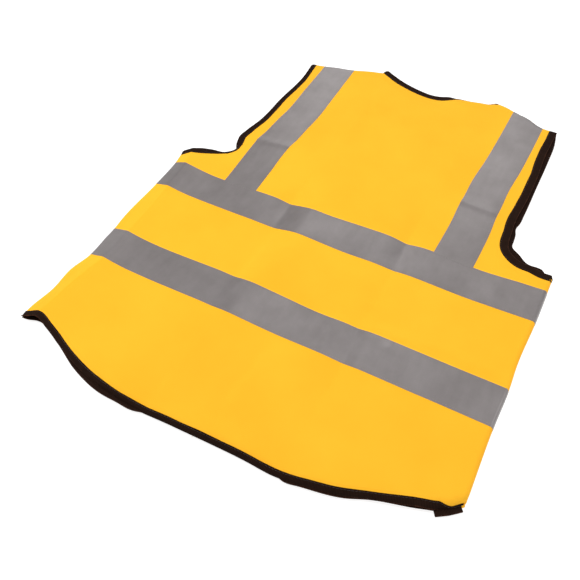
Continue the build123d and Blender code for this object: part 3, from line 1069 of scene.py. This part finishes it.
def back_cloth():
    """The back, one panel from the hem to the shoulders."""
    outline = closed(
        BACK_HEM, beyond(RIGHT_SIDE, 1), RIGHT_ARMHOLE, beyond(RIGHT_SHOULDER, -1)[::-1], BACK_NECK[::-1],
        beyond(LEFT_SHOULDER, -1)[::-1], LEFT_ARMHOLE[::-1], beyond(LEFT_SIDE, -1)[::-1],
    )
    guides = rows(BACK_HEM, 1, EDGE_ROWS) + rows(RIGHT_ARMHOLE, 1, EDGE_ROWS)
    guides += rows(BACK_NECK, -1, EDGE_ROWS) + rows(LEFT_ARMHOLE, -1, EDGE_ROWS)
    for line, cloth_side in ((RIGHT_SIDE, 1), (LEFT_SIDE, -1), (RIGHT_SHOULDER, -1), (LEFT_SHOULDER, -1)):
        guides += rows(line, cloth_side, SEAM_ROWS)
    guides += rows(LEFT_CREASE, -1, CREASE_ROWS)
    for k in SHARP_VALLEYS:
        guides += rows(RELIEF_LINES[k][:, :2], -1, VALLEY_ROWS)
    cloth_piece("back_cloth", outline, guides, back_lay, "back", BACK_SPACING, "back_panel")


def front_cloth(hand):
    """A front, one panel, with close rows of points along its fold line."""
    body = f"{hand}_front"
    if hand == "right":
        hem, side, armhole = RIGHT_HEM, RIGHT_SIDE, RIGHT_FRONT_ARMHOLE
        shoulder, neck, centre = RIGHT_SHOULDER, RIGHT_NECK_EDGE, RIGHT_CENTRE_EDGE
        cloth_side, shoulder_from_armhole = 1, beyond(shoulder, -1)[::-1]
    else:
        hem, side, armhole = LEFT_HEM[::-1], LEFT_SIDE, LEFT_FRONT_ARMHOLE
        shoulder, neck, centre = LEFT_FRONT_SHOULDER, LEFT_NECK_EDGE, LEFT_CENTRE_EDGE
        cloth_side, shoulder_from_armhole = -1, beyond(shoulder, -1)
    hem, neck = finer_at_fold(hem, body), finer_at_fold(neck, body)
    outline = closed(
        hem, beyond(side, cloth_side), armhole, shoulder_from_armhole, neck[::-1], centre[::-1],
    )
    guides = []
    for line, side_of_cloth in ((hem, 1), (armhole, 1), (neck, -1), (centre, -1)):
        guides += rows(line, side_of_cloth * cloth_side, EDGE_ROWS)
    guides += rows(side, cloth_side, SEAM_ROWS) + rows(shoulder, -1, SEAM_ROWS)
    guides = [row[(inside_fold(row, body) < FOLD_START - 1) | (inside_fold(row, body) > FOLD_END + 1)]
              for row in guides]
    guides += fold_rows(body)
    cloth_piece(f"{hand}_front_cloth", outline, guides, front_lay, body, FRONT_SPACING,
                f"{hand}_front_side_panel", f"{hand}_front_flap_panel")


RIGHT_HEM = split_at_x(FRONT_HEM, 3.0)[1]
LEFT_HEM = split_at_x(FRONT_HEM, -3.0)[0]
LEFT_FRONT_SHOULDER = split_at_x(LEFT_SHOULDER, -97.0)[0]

back_cloth()
front_cloth("right")
front_cloth("left")


# ---- reflective tape

TAPE_ABOVE = CLOTH / 2 + TAPE / 2 - 0.05  # its glued face sinks a little into the cloth
TAPE_ROW_GAP = 4.2
BAND_POINTS = 520  # along a band on the back, and half as many on a front
BRACE_POINTS = 230
STITCH_INSET = 2.2
INTO_SEAM = 3.0  # tape caught in a seam reaches this far past it
FRONT_TAPE_END = 2.5  # a band on a front ends inside the front's edge binding


def tape_grid(start, end):
    """Flat points of a tape between two lines of the same number of points, row after row."""
    steps = int(round(np.linalg.norm(start[0] - end[0]) / TAPE_ROW_GAP)) + 1
    share = np.linspace(0, 1, steps)[:, None, None]
    return (start * (1 - share) + end * share).reshape(-1, 2)


def band_edge(y, hand):
    """A band's edge at a height: from side to side, or from a side to a front's centre edge."""
    left, right = x_at(LEFT_SIDE, y) - INTO_SEAM, x_at(RIGHT_SIDE, y) + INTO_SEAM
    if hand == "right":
        left = FRONT_TAPE_END
    if hand == "left":
        right = -FRONT_TAPE_END
    x = left + (right - left) * np.linspace(0, 1, BAND_POINTS if hand == "back" else BAND_POINTS // 2)
    return np.column_stack([x, np.full(len(x), float(y))])


def tape_with_stitches(name, start, end, lay, layer, body, *nodes):
    """One tape, with a line of stitches near each long edge."""
    grid = tape_grid(start, end)
    tape = strip_piece(f"{name}_tape", grid, len(start), lay, layer * TAPE_ABOVE, TAPE, TAPE_LOOK)
    place(tape, body, "tape", *nodes)
    width = np.linalg.norm(start[0] - end[0])
    lines = [start + (end - start) * (inset / width) for inset in (STITCH_INSET, width - STITCH_INSET)]
    inside_seams = [line[(INTO_SEAM < lengths(line)) & (lengths(line) < lengths(line)[-1] - INTO_SEAM)]
                    for line in lines]
    runs = [(line, lay, layer * (TAPE_ABOVE + TAPE / 2)) for line in inside_seams]
    stitch(name, runs, GREY_THREAD, body)


for band in ("upper", "lower"):
    low, high = (corner.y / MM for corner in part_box(f"back_{band}_band"))
    tape_with_stitches(
        f"{band}_band_back", band_edge(low, "back"), band_edge(high, "back"), back_lay, 1, "back",
        f"back_{band}_band",
    )
    for hand in ("right", "left"):
        tape_with_stitches(
            f"{band}_band_{hand}_front", band_edge(low, hand), band_edge(high, hand), front_lay, -1,
            f"{hand}_front", f"{hand}_front_{band}_band_side", f"{hand}_front_{band}_band_flap",
        )

BRACE_MIDDLES = {
    "left": smooth([
        (-153, -4), (-154.5, 40), (-156, 98), (-154, 122), (-153, 150), (-151.5, 180), (-153.5, 240),
        (-156, 300), (-158, 350),
    ]),
    "right": smooth([
        (149.5, -4), (151, 65), (150, 98), (150.5, 112), (150.5, 150), (154, 200), (156, 250), (158, 350),
    ]),
}


SHOULDER_Y = 340.0  # where the braces reach the shoulder seams, near enough to find their X there


def brace_edge(hand, offset, low):
    """A brace's edge: from the upper band up to the shoulder, and into its seam."""
    middle, shoulder = BRACE_MIDDLES[hand], {"left": LEFT_SHOULDER, "right": RIGHT_SHOULDER}[hand]
    x = x_at(middle, SHOULDER_Y) + offset
    high = np.interp(x, shoulder[:, 0], shoulder[:, 1]) + INTO_SEAM
    y = low + (high - low) * np.linspace(0, 1, BRACE_POINTS)
    return np.column_stack([x_at(middle, y) + offset, y])


brace_width = (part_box("right_back_brace")[1].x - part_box("right_back_brace")[0].x) / MM
band_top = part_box("back_upper_band")[1].y / MM
for hand in ("left", "right"):
    edges = [brace_edge(hand, side * brace_width / 2, band_top) for side in (-1, 1)]
    for layer_name, lay, layer in (("back", back_lay, 1), ("front", front_lay, -1)):
        brace = f"{hand}_{layer_name}_brace"
        tape_with_stitches(brace, *edges, lay, layer, "back", brace)


# ---- binding

# Visible widths: one number, or (share of the line, width) where binding narrows along the line
NECK_BINDING = [(0, 10.5), (0.58, 10.5), (0.8, 4.5), (0.9, 3.4), (1, 1.9)]
RIGHT_ARMHOLE_BINDING = 10.0
LEFT_ARMHOLE_BINDING = [(0, 10.5), (0.3, 9.6), (0.6, 8.2), (1, 7.2)]
HEM_BINDING = 7.2
BACK_HEM_BINDING = [(0, HEM_BINDING), (0.955, HEM_BINDING), (0.975, 2.4), (1, 2.0)]
TURNED_BINDING = 9.5
EDGE_BINDING = 9.0
HEM_PROUD = 0.8  # the hem's binding reaches this far past the left corner
TURNED_FROM = 234.0  # X where the front hem's binding turns away from the cloth's edge
BINDING_STITCH_INSET = 1.4
FRONT_EDGING_START = -1.5  # a front's own edging begins this far outside its fold line
STUB_POINTS = 3  # an edge with no more points than this is a stub, and isn't bound


def on_side_of_fold(line, body, opens):
    """The part of a line on a front that opens, or the part that doesn't."""
    way = inside_fold(line, body)
    kept = way >= FRONT_EDGING_START if opens else way <= FRONT_EDGING_START
    pieces = []
    for k in range(len(line)):
        if kept[k]:
            pieces.append(line[k])
        if k + 1 < len(line) and kept[k] != kept[k + 1]:
            share = (FRONT_EDGING_START - way[k]) / (way[k + 1] - way[k])
            pieces.append(line[k] + (line[k + 1] - line[k]) * share)
    return np.array(pieces)


def bound(name, runs, seed, body, node):
    """Binding over bare edges, and its stitches on both faces. A run: line, cloth side, width, surface."""
    piece = binding_piece(f"{name}_binding_tape", runs, BINDING_LOOK, seed)
    place(piece, body, "binding", node)
    stitches = []
    for line, cloth_side, width, lay in runs:
        inset = width_along(line, width)[:, None] - BINDING_STITCH_INSET
        inner = line + across(line) * cloth_side * inset
        height = CLOTH / 2 + BINDING_WALL + 0.08
        stitches += [(inner, lay, height), (inner, lay, -height)]
    stitch(f"{name}_binding", stitches, DARK_THREAD, body)


bound("left_armhole", [
    (LEFT_ARMHOLE, -1, LEFT_ARMHOLE_BINDING, back_lay),
    (LEFT_FRONT_ARMHOLE, -1, LEFT_ARMHOLE_BINDING, front_lay),
], 31, "back", "left_armhole_binding")
bound("right_armhole", [
    (RIGHT_ARMHOLE, 1, RIGHT_ARMHOLE_BINDING, back_lay),
    (RIGHT_FRONT_ARMHOLE, 1, RIGHT_ARMHOLE_BINDING, front_lay),
], 32, "back", "right_armhole_binding")
neck_runs = [
    (BACK_NECK, -1, NECK_BINDING, back_lay),
    (on_side_of_fold(RIGHT_NECK_EDGE, "right_front", False), -1, EDGE_BINDING, front_lay),
    (on_side_of_fold(LEFT_NECK_EDGE, "left_front", False), 1, EDGE_BINDING, front_lay),
]
bound("neck", [run for run in neck_runs if len(run[0]) > STUB_POINTS], 33, "back", "neck_binding")
right_hem = on_side_of_fold(RIGHT_HEM, "right_front", False)
left_hem = longer(on_side_of_fold(LEFT_HEM, "left_front", False), HEM_PROUD, 0)
turned_end = evenly(np.array([(234.5, -301.5), (245, -294.5), (255.5, -285.5)]), 1.0)
bound("hem", [
    (longer(BACK_HEM, HEM_PROUD, 0), 1, BACK_HEM_BINDING, back_lay),
    (left_hem, 1, HEM_BINDING, front_lay),
    (right_hem[right_hem[:, 0] < TURNED_FROM], 1, HEM_BINDING, front_lay),
    (turned_end, 1, TURNED_BINDING, front_lay),
], 34, "back", "hem_binding")
right_edge = joined(RIGHT_HEM[::-1], RIGHT_CENTRE_EDGE, RIGHT_NECK_EDGE)
left_edge = joined(LEFT_HEM, LEFT_CENTRE_EDGE, LEFT_NECK_EDGE)
for hand, edge, cloth_side, seed in (("right", right_edge, -1, 35), ("left", left_edge, 1, 36)):
    edging = on_side_of_fold(edge, f"{hand}_front", True)
    bound(f"{hand}_front_edge", [(edging, cloth_side, EDGE_BINDING, front_lay)], seed, f"{hand}_front",
          f"{hand}_front_edge_binding")


# ---- seams

OVERLOCK_PITCH = 2.4
OVERLOCK_IN = 4.2
OVERLOCK_HALF_WIDTH = 1.8
OVERLOCK_HALF_HEIGHT = 1.25
OVERLOCK_STEP = 0.2
OVERLOCK_TRIM = 12.0  # the thread stops this far from a seam's ends, clear of the binding
OVERLOCK_SIDES = 5


def overlock(seam, line, cloth_side, level):
    """Overlock thread wound round a seam's two turned-in edges."""
    trim = round(OVERLOCK_TRIM / OVERLOCK_STEP)
    line = evenly(line, OVERLOCK_STEP)[trim:-trim]
    inward = across(line) * cloth_side
    turn = lengths(line) * 2 * math.pi / OVERLOCK_PITCH
    middle = np.column_stack([
        line + inward * (OVERLOCK_IN + OVERLOCK_HALF_WIDTH * np.cos(turn))[:, None],
        level + OVERLOCK_HALF_HEIGHT * np.sin(turn),
    ])
    ahead = unit(np.gradient(middle, axis=0))
    out = unit(np.cross(ahead, (0, 0, 1.0)))
    up = np.cross(out, ahead)
    angle = np.arange(OVERLOCK_SIDES) * 2 * math.pi / OVERLOCK_SIDES
    rings = middle[:, None] + THREAD_RADIUS * (
        out[:, None] * np.cos(angle)[:, None] + up[:, None] * np.sin(angle)[:, None])
    faces = tube_faces(1, len(middle), OVERLOCK_SIDES)
    flat = np.column_stack([
        np.repeat(lengths(middle), OVERLOCK_SIDES),
        np.tile(np.arange(OVERLOCK_SIDES) * 0.2, len(middle)),
    ])
    thread = make_piece(f"{seam}_overlock", np.concatenate(rings), faces, flat, AMBER_THREAD)
    place(thread, "back", "thread", f"{seam}_seam")


overlock("right_side", RIGHT_SIDE, 1, RIGHT_SEAM_LEVEL)
overlock("left_side", LEFT_SIDE, -1, LEFT_SEAM_LEVEL)
overlock("right_shoulder", RIGHT_SHOULDER, -1, SHOULDER_LEVEL)
overlock("left_shoulder", LEFT_FRONT_SHOULDER, -1, SHOULDER_LEVEL)


# ---- labels and closure patches

LABEL = 0.25
LABEL_GRID = 1.5
LABEL_CORNER = 0.3
LABEL_GAP = 0.02
LABEL_SEWN_IN = 1.5
PATCH = 0.5
PATCH_CORNER = 2.0
PATCH_GRID = 1.2
PATCH_SEWN_IN = 1.0
PATCH_PITCH = 1.7
PATCH_LENGTH = 60.0
PATCH_COUNT = 3
FIELD_INSET = 1.6
PILE_HEIGHT = 0.7
PILE_ROOT = 0.05  # how deep a hook or loop stands in its patch


def rounded_grid(low, high, gap, corner):
    """Flat points over a box whose outer rows are pulled in at the corners."""
    across_count = int(round((high[0] - low[0]) / gap)) + 1
    up_count = int(round((high[1] - low[1]) / gap)) + 1
    x, y = np.meshgrid(np.linspace(low[0], high[0], across_count), np.linspace(low[1], high[1], up_count))
    middle = (low[0] + high[0]) / 2
    over = np.minimum(high[1] - y, y - low[1])
    pull = corner - np.sqrt(np.clip(corner ** 2 - np.clip(corner - over, 0, None) ** 2, 0, None))
    half = (high[0] - low[0]) / 2
    x = middle + (x - middle) * (half - pull) / half
    return np.column_stack([x.ravel(), y.ravel()]), across_count


def box_lines(low, high, inset):
    """The four sides of a box, inset."""
    a, b = np.array(low) + inset, np.array(high) - inset
    ring = [(a[0], a[1]), (b[0], a[1]), (b[0], b[1]), (a[0], b[1]), (a[0], a[1])]
    return [evenly(np.array(ring[k:k + 2], float), 2.0) for k in range(4)]


def plan_box(node):
    """A CAD node's box in the plan."""
    return (np.array((corner.x, corner.y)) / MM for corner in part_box(node))


def label(name, node, lay, layer, body):
    """A blank satin label sewn to the inner face of the cloth."""
    low, high = plan_box(node)
    grid, columns = rounded_grid(low, high, LABEL_GRID, LABEL_CORNER)
    height = layer * (CLOTH / 2 + LABEL / 2 + LABEL_GAP)
    place(strip_piece(name, grid, columns, lay, height, LABEL, LABEL_LOOK), body, "label", node)
    sewn = box_lines(low, high, LABEL_SEWN_IN)
    runs = [(line, lay, height + layer * LABEL / 2) for line in sewn]
    stitch(name, runs, WHITE_THREAD, body)


def field(boxes, lay, layer, looped):
    """Hooks or loops that stand over patches: bent threads, all of one mesh."""
    draw = np.random.default_rng(7)
    points, faces, count = [], [], 0
    for low, high in boxes:
        x, y = np.meshgrid(np.arange(low[0] + FIELD_INSET, high[0] - FIELD_INSET + 0.1, PATCH_PITCH),
                           np.arange(low[1] + FIELD_INSET, high[1] - FIELD_INSET + 0.1, PATCH_PITCH))
        spot = np.column_stack([x.ravel(), y.ravel()])
        spot = spot + draw.uniform(-0.25, 0.25, spot.shape) * (3.0 if looped else 1.0)
        foot, normal = laid(lay, spot, layer * (CLOTH / 2 + PATCH))
        normal = normal * layer
        turn = draw.uniform(0, 2 * math.pi, len(spot)) if looped else np.zeros(len(spot))
        lean = np.column_stack([np.cos(turn), np.sin(turn), np.zeros(len(spot))])
        reach = 0.8 if looped else 0.45
        bend = [0.0, 0.25, 0.5, 0.75, 1.0] if looped else [0.0, 0.3, 0.55, 0.75, 0.9]
        rings = []
        for t in bend:
            along = lean * (reach * (1 - math.cos(math.pi * t)) / 2)
            rings.append(foot + along + normal * (PILE_HEIGHT * math.sin(math.pi * t) - PILE_ROOT))
        side = np.cross(lean, normal)
        thick = 0.09 if looped else 0.13
        cloud = np.stack([
            ring[:, None] + thick * np.stack([side, normal + lean, -side, -normal - lean], axis=1)
            * np.array([1, 0.7, 1, 0.7])[None, :, None]
            for ring in rings
        ], axis=1)
        faces += tube_faces(*cloud.shape[:3], count, inside_out=True)
        count += cloud[..., 0].size
        points.append(cloud.reshape(-1, 3))
    return np.concatenate(points), faces


def patches(name, node, slot, lay, layer, body, look, looped):
    """A front's three closure patches, their hooks or loops, and the stitches that hold them."""
    low, high = plan_box(node)
    feet = np.linspace(low[1], high[1] - PATCH_LENGTH, PATCH_COUNT)
    boxes = [(np.array((low[0], foot)), np.array((high[0], foot + PATCH_LENGTH))) for foot in feet]
    height = layer * (CLOTH / 2 + PATCH / 2)
    for k, (a, b) in enumerate(boxes):
        grid, columns = rounded_grid(a, b, PATCH_GRID, PATCH_CORNER)
        base = strip_piece(f"{name}_base_{k + 1}", grid, columns, lay, height, PATCH, look)
        place(base, f"on {body}", slot, *([node] if k == 0 else []))
    points, faces = field(boxes, lay, layer, looped)
    pile = make_piece(f"{name}_pile", points, faces, points[:, :2], look)
    place(pile, f"on {body}", slot)
    sewn = [line for a, b in boxes for line in box_lines(a, b, PATCH_SEWN_IN)]
    runs = [(line, lay, layer * (CLOTH / 2 + PATCH)) for line in sewn]
    stitch(name, runs, DARK_THREAD, f"on {body}")


label("size_label_satin", "size_label", back_lay, -1, "back")
label("care_label_satin", "care_label", front_lay, 1, "back")
patches("hook_patch", "hook_patches", "hook_tape", front_lay, 1, "left_front", HOOK_LOOK, False)
patches("loop_patch", "loop_patches", "loop_tape", front_lay, -1, "right_front", LOOP_LOOK, True)


# ---- a box's corners as plain lists, and a last update of the scene

def corners(box):
    """A box's two corners as plain lists."""
    return [list(box[0]), list(box[1])]


bpy.context.view_layer.update()
